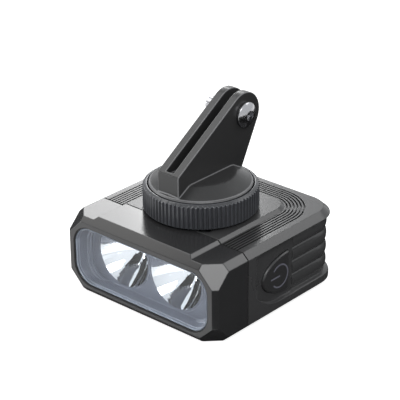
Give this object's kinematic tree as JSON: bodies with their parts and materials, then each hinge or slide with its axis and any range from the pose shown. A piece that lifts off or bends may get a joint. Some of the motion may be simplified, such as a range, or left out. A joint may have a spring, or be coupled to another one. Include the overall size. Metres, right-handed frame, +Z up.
{
  "type": "bike headlight",
  "caption": "Low chamfered metal headlight with mirror cups behind a rounded window, a ribbed rear case, a side button and a forked mount locked by a knurled ring.",
  "frame": {"origin": "under the middle of the housing, on the plane of its underside", "axes": "the lamp shines toward -Y, +Z is up through the mount, and the button is on the +X side"},
  "size_m": [0.068, 0.0666, 0.0672],
  "materials": {
    "head_metal": "satin dark anodised",
    "case_metal": "satin dark anodised, a shade lighter than the head",
    "ring_metal": "satin dark anodised, machined knurl",
    "fork_metal": "satin dark anodised",
    "button_metal": "satin dark anodised",
    "bare_aluminium": "milled",
    "clear_window": "clear polished",
    "hood_plastic": "fine satin",
    "cup_mirror": "metallised",
    "emitter_resin": "phosphor under clear resin",
    "white_board": "solder mask",
    "green_board": "solder mask",
    "pad_silicone": "soft matte",
    "black_rubber": "soft matte",
    "wire_sleeve": "smooth",
    "cell_wrap": "shrink film",
    "foam_black": "open foam",
    "ribbon_film": "film",
    "socket_steel": "bright",
    "screw_steel": "darkened",
    "plate_steel": "satin",
    "bolt_steel": "bright",
    "switch_plastic": "matte",
    "plunger_plastic": "matte",
    "washer_plastic": "satin",
    "symbol_ink": "print"
  },
  "bodies": {
    "housing": {"front_head": "head_metal", "front_window": "clear_window", "window_gasket": "black_rubber", "reflector_hood": "hood_plastic", "reflector_left": "cup_mirror", "reflector_right": "cup_mirror", "led_emitters": "emitter_resin", "led_board": "white_board", "thermal_pad": "pad_silicone", "heat_spreader": "bare_aluminium", "spreader_screws": "screw_steel", "head_seal": "black_rubber", "rear_case": "case_metal", "case_screws": "screw_steel", "driver_board": "green_board", "led_wires": "wire_sleeve", "battery_pack": "cell_wrap", "battery_foam": "foam_black", "battery_wires": "wire_sleeve", "usb_board": "green_board", "usb_socket": "socket_steel", "port_ribbon": "ribbon_film", "port_strap": "black_rubber", "switch_board": "green_board", "tact_switch": "switch_plastic", "button_seal": "black_rubber", "mount_boss": "case_metal", "boss_screws": "screw_steel", "friction_washer": "washer_plastic"},
    "button": {"side_button": "button_metal", "button_symbol": "symbol_ink", "switch_plunger": "plunger_plastic"},
    "port_cover": {"port_cover": "black_rubber"},
    "lock_ring": {"lock_ring": "ring_metal"},
    "fork": {"fork_mount": "fork_metal", "retainer_plate": "plate_steel", "retainer_screws": "screw_steel"},
    "pivot_bolt": {"pivot_bolt": "bolt_steel"}
  },
  "joints": [
    {"name": "button_press", "type": "slide", "parent": "housing", "child": "button", "axis": [-1, 0, 0], "range_m": [0, 0.0006], "stiffness_N_per_m": 2500, "springref_m": -0.0003},
    {"name": "port_cover_hinge", "type": "hinge", "parent": "housing", "child": "port_cover", "pos_m": [0, 0.0323, 0.0106], "axis": [-1, 0, 0], "range_deg": [0, 110]},
    {"name": "lock_ring_turn", "type": "hinge", "parent": "housing", "child": "lock_ring", "pos_m": [0, -0.00185, 0.035], "axis": [0, 0, 1], "range_deg": [0, 60]},
    {"name": "fork_swivel", "type": "hinge", "parent": "housing", "child": "fork", "pos_m": [0, -0.00185, 0.038], "axis": [0, 0, 1], "continuous": true},
    {"name": "pivot_bolt_slide", "type": "slide", "parent": "fork", "child": "pivot_bolt", "axis": [1, 0, 0], "range_m": [0, 0.017]}
  ]
}
